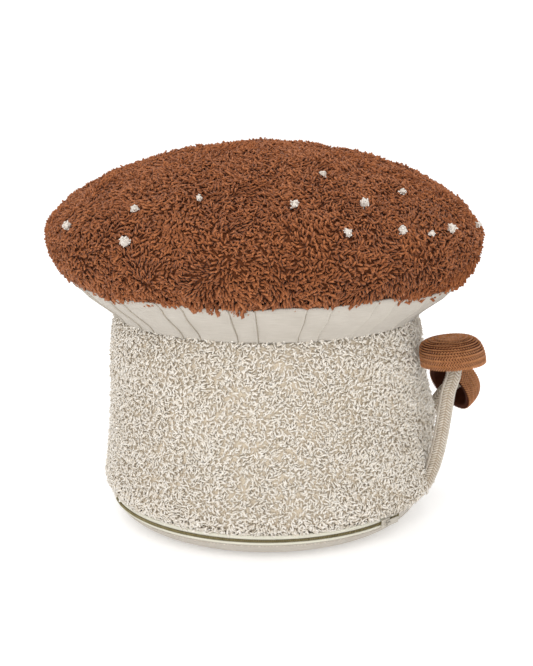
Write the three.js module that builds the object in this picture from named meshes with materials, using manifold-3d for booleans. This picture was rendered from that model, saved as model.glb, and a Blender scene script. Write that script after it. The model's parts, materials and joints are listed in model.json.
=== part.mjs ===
// A mushroom-shaped pouf: a stuffed seat with a tufted cap, a canvas collar with pin tucks,
// a tufted stem, a canvas base that a zip closes, and two braided toadstools sewn to its side.
// Millimetres, +Z up. The origin is the middle of the underside, on the surface it stands on.
// The front faces -Y, and azimuths run from the front towards +X.

import * as THREE from 'three';
import { mergeVertices } from 'three/addons/utils/BufferGeometryUtils.js';
import Module from 'manifold-3d';

const wasm = await Module();
wasm.setup();

const GAP = 0.4; // clearance between neighbouring pieces

// Cap: a low crown over a rounded underside that stops where the collar begins.
const CAP_RADIUS = 230;
const CAP_TOP = 401.5;
const CAP_WIDEST = 306; // height of the widest ring
const CROWN_POWER = 1.9; // how flat the top of the crown is
const CROWN_FULLNESS = 0.613; // how round its shoulder is
const UNDERSIDE_CENTRE = 196; // radius at which the underside's ellipse is centred
const UNDERSIDE_DEPTH = 51;
const UNDERSIDE_SWEEP = 78; // degrees of that ellipse before the collar seam
const CAP_THICKNESS = 14; // pile and backing together
const CAP_COLUMNS = 64;
const CROWN_ROWS = 10;
const UNDERSIDE_ROWS = 5;
const LINING_CROWN_ROWS = 6;
const LINING_UNDERSIDE_ROWS = 3;
const CAP_RELIEF = 1.8;

// Dots: cream knots of yarn sunk in the pile of the crown.
const DOT_RADIUS = 4.4;
const DOT_SIDES = 5;
const DOT_RINGS = 3;
const DOT_PROUD = 1.2; // how far the middle of a dot stands above the crown
const DOT_PLACES = [ // azimuth in degrees and distance from the axis, front of the cap
  [-36, 200], [-33, 225], [-19, 183], [-57, 222], [8, 189], [22, 143], [28, 190],
  [46, 179], [20, 217], [35, 218], [44, 222], [53, 221], [73, 224],
];
const DOT_FAR_TURN = 176; // the far side repeats the scatter, turned and drawn in
const DOT_FAR_DRAW = 0.95;

// Collar: a canvas skirt from the cap's seam down to the stem, with pairs of pin tucks.
const COLLAR_OUTLINE = [[162.5, 222.8], [165.8, 227.3], [173.6, 233.8], [183.4, 241], [202.4, 255.7]];
const COLLAR_THICKNESS = 2.5;
const TUCK_PAIRS = 18;
const TUCK_PHASE = -6.4; // azimuth of the pair nearest the front
const TUCK_SPREAD = 3.4; // each tuck's distance from the middle of its pair
const TUCK_HALF_WIDTH = 0.5; // degrees
const TUCK_HEIGHT = 1.3;

// Stem: a tufted tube, a little wider towards the floor.
const STEM_OUTLINE = [
  [168.5, 31], [174.5, 39], [177, 48], [176.8, 58], [175, 74], [172.5, 95], [170.5, 118],
  [169.7, 145], [169.5, 170], [168.6, 190], [166.8, 204], [164.5, 214.5], [162.5, 222.4],
];
const STEM_THICKNESS = 9;
const STEM_COLUMNS = 64;
const STEM_RELIEF = 1.1;

// Base: a canvas dish with a flat foot and a slot in its wall for the zip.
const BASE_TOP = 30.6;
const BASE_RADIUS = 167;
const BASE_SHOULDER = 27; // height at which the wall starts to curve under
const FOOT_RADIUS = 120;
const BASE_THICKNESS = 3;
const BASE_COLUMNS = 60;

// Zip: two tapes and a coil in the slot, and a slider that runs along them.
const ZIP_START = -84;
const ZIP_END = 54;
const ZIP_BOTTOM = 20.6;
const ZIP_STEPS = 34;
const LOWER_TAPE_HEIGHT = 2.6;
const COIL_HEIGHT = 2.2;
const TAPE_RADIUS = 167.2;
const TAPE_THICKNESS = 2.2;
const COIL_RADIUS = 168;
const COIL_RIDGE = 0.5;
const COIL_RIDGES = 48;
const SLIDER_AZIMUTH = 45;
const SLIDER_RADIUS = 168.9;
const SLIDER_LENGTH = 12;
const SLIDER_HEIGHT = 8.6;
const SLIDER_PLATE = 2.2;
const LUG_LENGTH = 6;
const LUG_WIDTH = 2.4;
const LUG_RISE = 3.2;
const LUG_BAR = 1.1; // thickness of the lug's bridge
const PULL_PIVOT = 3.25; // pivot of the pull above the slider's back
const PULL_LENGTH = 17;
const PULL_WIDTH = 6.4;
const PULL_THICKNESS = 1;
const PULL_CROSSBAR = 1.1;
const PULL_WINDOW = 4.1; // reach of the window that swings over the lug

// Toadstools: braided caps on braided cord stems, rooted in the pile near the floor.
const BRAID_ROWS = 7;
const BRAID_RELIEF = 0.7;
const BRAID_THICKNESS = 6.5;
const CORD_RADIUS = 8.2;
const CORD_SIDES = 10;
const CORD_STEPS = 14;
const TOADSTOOL_COLUMNS = 24;
const FRONT_TOADSTOOL = {
  name: 'toadstool_front',
  capRadius: 33.5,
  capHeight: 28,
  rim: [189.3, -80, 181.7],
  facing: [-0.1, 0, 1],
  cord: [[162.1, -59, 40], [168.6, -61.6, 50], [175.4, -65, 70], [180.4, -69.2, 98],
    [183.6, -74, 130], [185.8, -77.4, 152]],
};
const REAR_TOADSTOOL = {
  name: 'toadstool_rear',
  capRadius: 31,
  capHeight: 30,
  rim: [206, 37, 124],
  facing: [0.75, 0.45, 0.48],
  cord: [[166, 40, 40], [171.8, 41, 51], [178, 40.5, 72], [185.5, 37.5, 96]],
};
const CORD_NECK = 10; // the cord runs straight for this far below the cap's rim
const CORD_HEADROOM = 1.5; // between the end of the cord and the top of the hollow

// Filling: one plump cushion that the covers hold.
const CUSHION_CLEARANCE = 0.8;
const CUSHION_COLUMNS = CAP_COLUMNS / 2; // its corners keep in line with the cap's columns

const FINISHES = {
  brownPile: { color: 0x8b4f30, roughness: 0.95 },
  creamPile: { color: 0xd8cfc2, roughness: 0.95 },
  dotYarn: { color: 0xefe9e0, roughness: 0.9 },
  canvas: { color: 0xd3cbc1, roughness: 0.85 },
  zipTape: { color: 0xdcdacb, roughness: 0.7 },
  zipCoil: { color: 0x9b8f58, roughness: 0.5 },
  zipMetal: { color: 0xb4aa9c, roughness: 0.4, metalness: 0.6 },
  brownBraid: { color: 0x90603f, roughness: 0.9 },
  creamCord: { color: 0xd9d1c6, roughness: 0.9 },
  filling: { color: 0xf2f0ec, roughness: 0.9 },
};

const radians = THREE.MathUtils.degToRad;

// A repeatable draw between -1 and 1 for each column and row of a surface.
function scatter(column, row) {
  const wave = Math.sin(column * 127.1 + row * 311.7) * 43758.5453;
  return 2 * (wave - Math.floor(wave)) - 1;
}

// Shared corners are merged and slivers that lie on the axis are dropped.
function closedBody(geometry) {
  const bare = geometry.clone();
  bare.deleteAttribute('normal');
  bare.deleteAttribute('uv');
  const merged = mergeVertices(bare, 1e-3);
  const corners = merged.index.array;
  const kept = [];
  for (let i = 0; i < corners.length; i += 3) {
    const [a, b, c] = [corners[i], corners[i + 1], corners[i + 2]];
    if (a !== b && b !== c && c !== a) {
      kept.push(a, b, c);
    }
  }
  merged.setIndex(kept);
  return merged;
}

function toManifold(geometry) {
  const body = closedBody(geometry);
  return new wasm.Manifold(new wasm.Mesh({
    numProp: 3,
    vertProperties: new Float32Array(body.attributes.position.array),
    triVerts: new Uint32Array(body.index.array),
  }));
}

function fromManifold(solid) {
  const mesh = solid.getMesh();
  const geometry = new THREE.BufferGeometry();
  geometry.setAttribute('position', new THREE.BufferAttribute(mesh.vertProperties, 3));
  geometry.setIndex(new THREE.BufferAttribute(mesh.triVerts, 1));
  return geometry;
}

function cut(geometry, cutters) {
  let solid = toManifold(geometry);
  for (const cutter of cutters) {
    solid = solid.subtract(toManifold(cutter));
  }
  return fromManifold(solid);
}

function join(geometries) {
  let solid = toManifold(geometries[0]);
  for (const geometry of geometries.slice(1)) {
    solid = solid.add(toManifold(geometry));
  }
  return fromManifold(solid);
}

const group = new THREE.Group();

function addPiece(name, geometry, finish) {
  const mesh = new THREE.Mesh(geometry, new THREE.MeshStandardMaterial(FINISHES[finish]));
  mesh.geometry.computeVertexNormals();
  mesh.name = name;
  group.add(mesh);
  return mesh;
}

// A turned body. The outline lists [radius, height] so that the body lies on its left, and
// place may move the corner at each column and row, given as azimuth, radius and height.
function turned(outline, columns, place = (column, row, corner) => corner) {
  const points = outline.map(([radius, height]) => new THREE.Vector2(radius, height));
  const geometry = new THREE.LatheGeometry(points, columns);
  const position = geometry.attributes.position;
  for (let column = 0; column <= columns; column += 1) {
    for (let row = 0; row < points.length; row += 1) {
      const plain = {
        azimuth: (2 * Math.PI * (column % columns)) / columns,
        radius: points[row].x,
        height: points[row].y,
      };
      const corner = place(column % columns, row, plain);
      position.setXYZ(
        column * points.length + row,
        corner.radius * Math.sin(corner.azimuth),
        -corner.radius * Math.cos(corner.azimuth),
        corner.height,
      );
    }
  }
  return closedBody(geometry);
}

// An open outline moved sideways, to the left of its direction, by a distance.
function offsetOutline(outline, distance) {
  return outline.map(([radius, height], i) => {
    const before = outline[Math.max(i - 1, 0)];
    const after = outline[Math.min(i + 1, outline.length - 1)];
    const along = new THREE.Vector2(after[0] - before[0], after[1] - before[1]).normalize();
    return [radius - along.y * distance, height + along.x * distance];
  });
}

function closedLoop(outline) {
  return [...outline, outline[0]];
}

// Cap cover
function crownHeight(radius, inset) {
  const share = Math.min(radius / (CAP_RADIUS - inset), 1);
  const rise = CAP_TOP - CAP_WIDEST - inset;
  return CAP_WIDEST + rise * (1 - share ** CROWN_POWER) ** CROWN_FULLNESS;
}

// The cap's skin from its collar seam up to the apex, inset from the pile's outside.
function capOutline(inset, undersideRows, crownRows) {
  const outline = [];
  for (let row = undersideRows; row > 0; row -= 1) {
    const angle = radians((UNDERSIDE_SWEEP * row) / undersideRows);
    const reach = CAP_RADIUS - UNDERSIDE_CENTRE - inset;
    const depth = UNDERSIDE_DEPTH - inset;
    outline.push([UNDERSIDE_CENTRE + reach * Math.cos(angle), CAP_WIDEST - depth * Math.sin(angle)]);
  }
  for (let row = crownRows; row >= 0; row -= 1) {
    const radius = row === 0 ? 0 : (CAP_RADIUS - inset) * Math.sin((Math.PI * row) / (2 * crownRows));
    outline.push([radius, crownHeight(radius, inset)]);
  }
  return outline;
}

function capCover() {
  const inside = capOutline(CAP_THICKNESS, LINING_UNDERSIDE_ROWS, LINING_CROWN_ROWS).reverse();
  const outside = capOutline(0, UNDERSIDE_ROWS, CROWN_ROWS);
  const seamRow = inside.length;
  const apexRow = inside.length + outside.length - 1;
  return turned([...inside, ...outside], CAP_COLUMNS, (column, row, corner) => {
    if (row <= seamRow || row === apexRow) {
      return corner;
    }
    const bump = CAP_RELIEF * scatter(column, row);
    const lift = corner.height > CAP_WIDEST ? bump : 0;
    return { ...corner, radius: corner.radius + 0.5 * bump, height: corner.height + 0.7 * lift };
  });
}

// Each dot stands on the crown, square to it.
function dotPlaces() {
  const far = DOT_PLACES.slice(1).map(([azimuth, radius]) => (
    [azimuth + DOT_FAR_TURN, radius * DOT_FAR_DRAW]
  ));
  return [...DOT_PLACES, ...far].map(([azimuth, radius]) => {
    const step = 0.5;
    const slope = (crownHeight(radius + step, 0) - crownHeight(radius - step, 0)) / (2 * step);
    const outward = new THREE.Vector2(-slope, 1).normalize();
    const reach = radius + outward.x * DOT_PROUD;
    return new THREE.Vector3(
      reach * Math.sin(radians(azimuth)),
      -reach * Math.cos(radians(azimuth)),
      crownHeight(radius, 0) + outward.y * DOT_PROUD,
    );
  });
}

function dotBody(place, radius) {
  return new THREE.SphereGeometry(radius, DOT_SIDES, DOT_RINGS).translate(place.x, place.y, place.z);
}

const dots = dotPlaces();
const dotPits = dots.map((place) => dotBody(place, DOT_RADIUS + GAP));
addPiece('cap_cover', cut(capCover(), dotPits), 'brownPile');
dots.forEach((place, i) => {
  const number = String(i + 1).padStart(2, '0');
  addPiece(`cap_dot_${number}`, closedBody(dotBody(place, DOT_RADIUS)), 'dotYarn');
});

// Collar: four columns for each tuck, which are its two edges, its crest and the flat beyond it.
function tuckAzimuth(index) {
  const pair = Math.floor(index / 2);
  const side = index % 2 === 0 ? -1 : 1;
  return TUCK_PHASE + (pair * 360) / TUCK_PAIRS + side * TUCK_SPREAD;
}

function collar() {
  const lining = offsetOutline(COLLAR_OUTLINE, COLLAR_THICKNESS);
  const inside = [lining[4], lining[2], lining[1], lining[0]];
  const outline = closedLoop([...COLLAR_OUTLINE, ...inside]);
  const columnsPerTuck = 4;
  return turned(outline, TUCK_PAIRS * 2 * columnsPerTuck, (column, row, corner) => {
    const tuck = Math.floor(column / columnsPerTuck);
    const here = tuckAzimuth(tuck);
    const next = tuckAzimuth(tuck + 1);
    const azimuths = [here - TUCK_HALF_WIDTH, here, here + TUCK_HALF_WIDTH, (here + next) / 2];
    const isCrest = column % columnsPerTuck === 1;
    const isFace = row > 0 && row < COLLAR_OUTLINE.length - 1;
    const rise = isCrest && isFace ? TUCK_HEIGHT : 0;
    return {
      azimuth: radians(azimuths[column % columnsPerTuck]),
      radius: corner.radius + rise * 0.8,
      height: corner.height - rise * 0.6,
    };
  });
}

addPiece('gill_collar', collar(), 'canvas');

// Toadstools
function facingTurn(toadstool) {
  const facing = new THREE.Vector3(...toadstool.facing).normalize();
  return new THREE.Quaternion().setFromUnitVectors(new THREE.Vector3(0, 0, 1), facing);
}

// A bun-shaped dome of braid rows, hollow underneath.
function braidedCap({ capRadius, capHeight }) {
  const bun = (share, inset) => {
    const angle = share * (Math.PI / 2);
    const reach = (capRadius - inset) * Math.cos(angle) ** 0.62;
    return [reach, (capHeight - inset) * Math.sin(angle) ** 0.9];
  };
  const outside = [];
  const steps = BRAID_ROWS * 2;
  for (let step = 0; step < steps; step += 1) {
    const relief = step % 2 === 0 ? BRAID_RELIEF : 0;
    outside.push(bun(step / steps, relief));
  }
  outside.push([0, capHeight]);
  const inside = [];
  const insideSteps = 5;
  for (let step = insideSteps - 1; step >= 0; step -= 1) {
    inside.push(bun(step / insideSteps, BRAID_THICKNESS));
  }
  return turned([[0, capHeight - BRAID_THICKNESS], ...inside, ...outside], TOADSTOOL_COLUMNS);
}

// The cord rises from the pile and ends just under the inside of the cap.
function cordPath(toadstool) {
  const turn = facingTurn(toadstool);
  const rim = new THREE.Vector3(...toadstool.rim);
  const inCap = (height) => new THREE.Vector3(0, 0, height).applyQuaternion(turn).add(rim);
  const ceiling = toadstool.capHeight - BRAID_THICKNESS - CORD_HEADROOM;
  const points = toadstool.cord.map((point) => new THREE.Vector3(...point));
  return [...points, inCap(-CORD_NECK), inCap(ceiling / 2), inCap(ceiling)];
}

function cordBody(points, radius) {
  const section = new THREE.Shape();
  for (let side = 0; side < CORD_SIDES; side += 1) {
    const angle = (2 * Math.PI * side) / CORD_SIDES;
    const corner = [radius * Math.cos(angle), radius * Math.sin(angle)];
    if (side === 0) {
      section.moveTo(...corner);
    } else {
      section.lineTo(...corner);
    }
  }
  const extrudePath = new THREE.CatmullRomCurve3(points, false, 'centripetal');
  return closedBody(new THREE.ExtrudeGeometry(section, { steps: CORD_STEPS, extrudePath }));
}

// The hole in the pile that a cord stands in, clear of it all round.
function cordSocket(points) {
  const start = points[0].clone().sub(points[1]).setLength(GAP).add(points[0]);
  return cordBody([start, ...points.slice(1)], CORD_RADIUS + GAP);
}

const toadstools = [FRONT_TOADSTOOL, REAR_TOADSTOOL];
toadstools.forEach((toadstool) => {
  const cap = addPiece(`${toadstool.name}_cap`, braidedCap(toadstool), 'brownBraid');
  cap.position.set(...toadstool.rim);
  cap.quaternion.copy(facingTurn(toadstool));
  addPiece(`${toadstool.name}_stem`, cordBody(cordPath(toadstool), CORD_RADIUS), 'creamCord');
});

// Stem cover
function stemCover() {
  const lining = offsetOutline(STEM_OUTLINE, STEM_THICKNESS);
  const bottom = [lining[0][0], STEM_OUTLINE[0][1]];
  const top = [lining.at(-1)[0], STEM_OUTLINE.at(-1)[1]];
  const outline = closedLoop([...STEM_OUTLINE, top, lining[6], bottom]);
  const lastRow = STEM_OUTLINE.length - 1;
  return turned(outline, STEM_COLUMNS, (column, row, corner) => {
    const isFace = row > 0 && row < lastRow;
    const bump = isFace ? STEM_RELIEF * scatter(column, row) : 0;
    return { ...corner, radius: corner.radius + bump };
  });
}

const sockets = toadstools.map((toadstool) => cordSocket(cordPath(toadstool)));
addPiece('stem_cover', cut(stemCover(), sockets), 'creamPile');

// Base panel and zip
function sectorBody(outer, inner, bottom, height) {
  const section = new THREE.Shape();
  const start = radians(ZIP_START - 90);
  const end = radians(ZIP_END - 90);
  section.absarc(0, 0, outer, start, end, false);
  section.absarc(0, 0, inner, end, start, true);
  const settings = { depth: height, bevelEnabled: false, curveSegments: ZIP_STEPS };
  return new THREE.ExtrudeGeometry(section, settings).translate(0, 0, bottom);
}

function baseDish() {
  const outside = [[0, 0]];
  const arcSteps = 5;
  for (let step = 0; step <= arcSteps; step += 1) {
    const angle = (Math.PI * step) / (2 * arcSteps);
    const reach = BASE_RADIUS - FOOT_RADIUS;
    const radius = FOOT_RADIUS + reach * Math.sin(angle);
    outside.push([radius, BASE_SHOULDER * (1 - Math.cos(angle))]);
  }
  const lining = offsetOutline(outside.slice(1), BASE_THICKNESS).reverse();
  const wall = [[BASE_RADIUS, BASE_TOP], [BASE_RADIUS - BASE_THICKNESS, BASE_TOP]];
  return turned([...outside, ...wall, ...lining, [0, BASE_THICKNESS]], BASE_COLUMNS);
}

const slotHeight = BASE_TOP + GAP - ZIP_BOTTOM;
const zipSlot = sectorBody(BASE_RADIUS + 4, BASE_RADIUS - 2 * BASE_THICKNESS, ZIP_BOTTOM, slotHeight);
addPiece('base_panel', cut(baseDish(), [zipSlot]), 'canvas');

// The tapes and the coil stop short of the ends of the slot and of each other.
function zipStrip(outer, bottom, height) {
  const shortened = GAP / BASE_RADIUS;
  const strip = sectorBody(outer, TAPE_RADIUS - TAPE_THICKNESS, bottom, height);
  const middle = radians((ZIP_START + ZIP_END) / 2);
  const share = 1 - (2 * shortened) / radians(ZIP_END - ZIP_START);
  const position = strip.attributes.position;
  for (let i = 0; i < position.count; i += 1) {
    const [x, y] = [position.getX(i), position.getY(i)];
    const azimuth = middle + (Math.atan2(x, -y) - middle) * share;
    const radius = Math.hypot(x, y);
    position.setXY(i, radius * Math.sin(azimuth), -radius * Math.cos(azimuth));
  }
  return closedBody(strip);
}

function coilStrip(bottom) {
  const section = new THREE.Shape();
  const inset = (GAP / BASE_RADIUS) * (180 / Math.PI);
  const [start, end] = [ZIP_START + inset, ZIP_END - inset];
  const at = (azimuth, radius) => [radius * Math.sin(radians(azimuth)), -radius * Math.cos(radians(azimuth))];
  const halfSteps = COIL_RIDGES * 2;
  for (let step = 0; step <= halfSteps; step += 1) {
    const azimuth = start + ((end - start) * step) / halfSteps;
    const corner = at(azimuth, COIL_RADIUS - (step % 2) * COIL_RIDGE);
    if (step === 0) {
      section.moveTo(...corner);
    } else {
      section.lineTo(...corner);
    }
  }
  for (let step = ZIP_STEPS; step >= 0; step -= 1) {
    section.lineTo(...at(start + ((end - start) * step) / ZIP_STEPS, TAPE_RADIUS - TAPE_THICKNESS));
  }
  const settings = { depth: COIL_HEIGHT, bevelEnabled: false };
  return closedBody(new THREE.ExtrudeGeometry(section, settings).translate(0, 0, bottom));
}

const lowerTapeBottom = ZIP_BOTTOM + GAP;
const coilBottom = lowerTapeBottom + LOWER_TAPE_HEIGHT + GAP;
const upperTapeBottom = coilBottom + COIL_HEIGHT + GAP;
const upperTapeHeight = BASE_TOP - upperTapeBottom;
addPiece('zip_tape_lower', zipStrip(TAPE_RADIUS, lowerTapeBottom, LOWER_TAPE_HEIGHT), 'zipTape');
addPiece('zip_coil', coilStrip(coilBottom), 'zipCoil');
addPiece('zip_tape_upper', zipStrip(TAPE_RADIUS, upperTapeBottom, upperTapeHeight), 'zipTape');

// Slider and pull are drawn at the front, with the zip along X, and turned to their place.
const sliderMiddle = coilBottom + COIL_HEIGHT / 2;

function outlineShape(corners) {
  return new THREE.Shape(corners.map(([x, y]) => new THREE.Vector2(x, y)));
}

// A flat outline in the plane of the zip, raised outwards from the slider's back.
function platePiece(shape, from, thickness) {
  const settings = { depth: thickness, bevelEnabled: false };
  return new THREE.ExtrudeGeometry(shape, settings)
    .rotateX(Math.PI / 2)
    .translate(0, -SLIDER_RADIUS - from, sliderMiddle);
}

function sliderBody() {
  const [halfLength, halfHeight] = [SLIDER_LENGTH / 2, SLIDER_HEIGHT / 2];
  const plate = outlineShape([
    [-halfLength, -0.55 * halfHeight], [-0.6 * halfLength, -halfHeight], [0.5 * halfLength, -halfHeight],
    [halfLength, -0.7 * halfHeight], [halfLength, 0.7 * halfHeight], [0.5 * halfLength, halfHeight],
    [-0.6 * halfLength, halfHeight], [-halfLength, 0.55 * halfHeight],
  ]);
  const half = LUG_LENGTH / 2;
  const sunk = -0.5; // the lug's feet reach into the plate
  const lug = outlineShape([
    [-half, sunk], [-half + LUG_BAR, sunk], [-half + LUG_BAR, LUG_RISE - LUG_BAR],
    [half - LUG_BAR, LUG_RISE - LUG_BAR], [half - LUG_BAR, sunk], [half, sunk],
    [half, LUG_RISE - LUG_BAR], [half - LUG_BAR, LUG_RISE],
    [-half + LUG_BAR, LUG_RISE], [-half, LUG_RISE - LUG_BAR],
  ]);
  const lugBody = new THREE.ExtrudeGeometry(lug, { depth: LUG_WIDTH, bevelEnabled: false })
    .rotateZ(Math.PI)
    .translate(0, -SLIDER_RADIUS - SLIDER_PLATE, sliderMiddle - LUG_WIDTH / 2);
  return join([platePiece(plate, 0, SLIDER_PLATE), lugBody]);
}

// The pull hangs on the lug by a crossbar, with a window on the tab's side of it.
function pullBody() {
  const half = PULL_WIDTH / 2;
  const bar = PULL_CROSSBAR / 2;
  const tab = outlineShape([
    [-bar, -0.8 * half], [PULL_LENGTH - 2, -half], [PULL_LENGTH, -0.5 * half],
    [PULL_LENGTH, 0.5 * half], [PULL_LENGTH - 2, half], [-bar, 0.8 * half],
  ]);
  const windowHalf = LUG_WIDTH / 2 + GAP;
  tab.holes.push(new THREE.Path([
    new THREE.Vector2(bar, -windowHalf), new THREE.Vector2(bar, windowHalf),
    new THREE.Vector2(PULL_WINDOW, windowHalf), new THREE.Vector2(PULL_WINDOW, -windowHalf),
  ]));
  return closedBody(platePiece(tab, PULL_PIVOT - PULL_THICKNESS / 2, PULL_THICKNESS));
}

addPiece('zip_slider', sliderBody(), 'zipMetal').rotation.z = radians(SLIDER_AZIMUTH);
addPiece('zip_pull', pullBody(), 'zipMetal').rotation.z = radians(SLIDER_AZIMUTH);

// Inner cushion: the room inside the covers, less a small clearance.
function cushionOutline() {
  const foot = [0, BASE_THICKNESS + CUSHION_CLEARANCE];
  const tuckedIn = TAPE_RADIUS - TAPE_THICKNESS - 2 * BASE_THICKNESS;
  const stemLining = offsetOutline(STEM_OUTLINE, STEM_THICKNESS + CUSHION_CLEARANCE);
  const stemNeck = STEM_OUTLINE.at(-1)[0] - STEM_THICKNESS - CUSHION_CLEARANCE;
  const collarLining = offsetOutline(COLLAR_OUTLINE, COLLAR_THICKNESS + CUSHION_CLEARANCE);
  const capInset = CAP_THICKNESS + CUSHION_CLEARANCE;
  const capLining = capOutline(capInset, LINING_UNDERSIDE_ROWS, LINING_CROWN_ROWS);
  return [
    foot, [FOOT_RADIUS - 2, foot[1]], [tuckedIn - 6, BASE_SHOULDER * 0.6],
    [stemLining[0][0], STEM_OUTLINE[0][1]], stemLining[6], [stemNeck, COLLAR_OUTLINE[0][1]],
    ...collarLining.slice(2, 4), ...capLining,
  ];
}

addPiece('inner_cushion', turned(cushionOutline(), CUSHION_COLUMNS), 'filling');

export default group;
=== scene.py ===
# %% [markdown]
# # A mushroom-shaped pouf in tufted yarn
# The real object is a stuffed seat for a child's room. A brown cap of tufted pile sits on a pale
# canvas collar, a cream tufted stem stands below it, and a canvas base with a zip closes the
# foot. Two small braided toadstools grow out of the pile on the right.
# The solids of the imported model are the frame: every new piece keeps to their places, and the
# script only adds what a solid can't show, such as yarn, weave, stitches and braid.

import json
import math
import random

import bmesh
import bpy
from mathutils import Matrix, Vector, noise

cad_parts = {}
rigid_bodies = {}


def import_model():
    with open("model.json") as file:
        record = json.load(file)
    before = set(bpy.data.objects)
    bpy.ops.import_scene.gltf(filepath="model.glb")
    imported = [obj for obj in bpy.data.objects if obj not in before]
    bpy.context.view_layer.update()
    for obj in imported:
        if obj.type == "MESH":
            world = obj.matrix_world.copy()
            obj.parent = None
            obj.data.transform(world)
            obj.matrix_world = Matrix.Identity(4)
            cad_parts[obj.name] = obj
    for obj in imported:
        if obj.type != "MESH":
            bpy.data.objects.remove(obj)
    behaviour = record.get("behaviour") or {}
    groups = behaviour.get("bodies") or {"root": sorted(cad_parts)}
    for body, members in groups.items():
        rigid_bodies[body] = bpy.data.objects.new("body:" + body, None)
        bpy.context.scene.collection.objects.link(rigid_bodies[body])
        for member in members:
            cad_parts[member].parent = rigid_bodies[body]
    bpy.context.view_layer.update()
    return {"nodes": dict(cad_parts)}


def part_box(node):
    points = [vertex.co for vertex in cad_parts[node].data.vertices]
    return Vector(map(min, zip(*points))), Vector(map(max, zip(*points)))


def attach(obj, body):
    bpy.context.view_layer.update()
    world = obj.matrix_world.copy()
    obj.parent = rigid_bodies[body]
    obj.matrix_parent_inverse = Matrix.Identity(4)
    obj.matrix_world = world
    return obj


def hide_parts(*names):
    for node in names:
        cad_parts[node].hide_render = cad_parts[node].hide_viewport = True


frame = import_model()

# %% [markdown]
# ## Camera
# The photo was taken from a little above the cap, about 1.2 m away, with a lens of about 60 mm
# for a 36 mm high frame. The upright sides of the pouf and the two ellipses of its collar fix
# that view, so the camera comes first and stays as it is.

# %% Camera
camera = bpy.data.objects.new("camera", bpy.data.cameras.new("camera"))
bpy.context.scene.collection.objects.link(camera)
camera.data.sensor_fit = "VERTICAL"
camera.data.sensor_height = 36.0
camera.data.lens = 61.3
camera.location = (0.0, -1.196, 0.46)
camera.rotation_euler = (math.radians(90.0 - 12.51), 0.0, 0.0)
bpy.context.scene.camera = camera
print("camera at", tuple(camera.location))

# %% [markdown]
# ## Shader maths as Python
# A node tree is easier to read as an expression. `Val` wraps one socket, and each operator adds
# one Math node. `Board` adds any other node: its settings come first, because some of them
# change which sockets the node has. The same two classes serve shaders and Geometry Nodes.


# %% Sockets with operators
class Val:
    """A socket of a node tree that can be used in an expression."""

    def __init__(self, board, socket):
        self.board = board
        self.socket = socket

    def out(self, name):
        """Another output of the same node."""
        return Val(self.board, self.socket.node.outputs[name])

    def math(self, operation, *others):
        sockets = dict(enumerate((self, *others)))
        return self.board.add("ShaderNodeMath", {"operation": operation}, sockets)

    def __add__(self, other):
        return self.math("ADD", other)

    def __sub__(self, other):
        return self.math("SUBTRACT", other)

    def __mul__(self, other):
        return self.math("MULTIPLY", other)

    def __truediv__(self, other):
        return self.math("DIVIDE", other)

    def __rsub__(self, other):
        return (self * -1.0).math("ADD", other)

    __radd__ = __add__
    __rmul__ = __mul__

    def sine(self):
        return self.math("SINE")

    def within(self, low, high):
        """0 below low, 1 above high, and a straight slope between them."""
        sockets = {"Value": self, "From Min": low, "From Max": high}
        return self.board.add("ShaderNodeMapRange", {}, sockets)


class Board:
    """Adds nodes to one node tree."""

    def __init__(self, tree):
        self.tree = tree

    def add(self, kind, settings=None, sockets=None, out=0):
        node = self.tree.nodes.new(kind)
        for name, value in (settings or {}).items():
            setattr(node, name, value)
        for name, value in (sockets or {}).items():
            self.feed(node.inputs[name], value)
        return Val(self, node.outputs[out]) if len(node.outputs) else node

    def feed(self, socket, value):
        if isinstance(value, Val):
            self.tree.links.new(value.socket, socket)
        else:
            socket.default_value = value

    def vector(self, operation, first, second):
        sockets = {0: first, 1: second}
        return self.add("ShaderNodeVectorMath", {"operation": operation}, sockets)

    def scaled(self, vector, factor):
        settings = {"operation": "SCALE"}
        return self.add("ShaderNodeVectorMath", settings, {0: vector, "Scale": factor})

    def mix(self, factor, first, second, blend="MIX"):
        settings = {"data_type": "RGBA", "blend_type": blend}
        return self.add("ShaderNodeMix", settings, {0: factor, 6: first, 7: second}, out=2)


def new_finish(name, **constants):
    """A material, its board and its main shader. Constants go on the shader's own sockets."""
    finish = bpy.data.materials.new(name)
    finish.use_nodes = True
    shader = finish.node_tree.nodes["Principled BSDF"]
    for socket, value in constants.items():
        shader.inputs[socket.replace("_", " ")].default_value = value
    return finish, Board(finish.node_tree), shader


def rgb(red, green, blue):
    return (red, green, blue, 1.0)


print("shader helpers ready")

# %% [markdown]
# ## Finished pieces
# A finished piece sits at the origin with its place in its mesh, as the frame's own nodes do.
# One helper turns a bmesh into such a piece, lets it ride on a body of the frame, gives it its
# finish, and hides the solids that it stands for.


# %% From bmesh to piece
def finish_piece(name, mesh, finish, stands_for=(), body="pouf"):
    if not isinstance(mesh, bpy.types.Mesh):
        made = bpy.data.meshes.new(name)
        mesh.to_mesh(made)
        mesh.free()
        made.shade_smooth()
        mesh = made
    mesh.name = name
    mesh.materials.clear()
    mesh.materials.append(finish)
    piece = bpy.data.objects.new(name, mesh)
    bpy.context.scene.collection.objects.link(piece)
    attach(piece, body)
    if stands_for:
        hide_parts(*stands_for)
    triangles = sum(len(face.vertices) - 2 for face in mesh.polygons)
    print(name, triangles, "triangles")
    return piece


def ring_point(radius, azimuth, height):
    """A point round the upright axis, with azimuth 0 in front and 90 degrees on the right."""
    angle = math.radians(azimuth)
    return Vector((radius * math.sin(angle), -radius * math.cos(angle), height))


# %% [markdown]
# ## Turned shapes
# Cap, collar, stem and base are all round, so each starts as an outline of a few points that is
# rounded into a smooth path and spun about the upright axis. A vertex layer remembers how far
# along the outline each point lies; cloth needs that later for the run of its weave.


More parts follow.
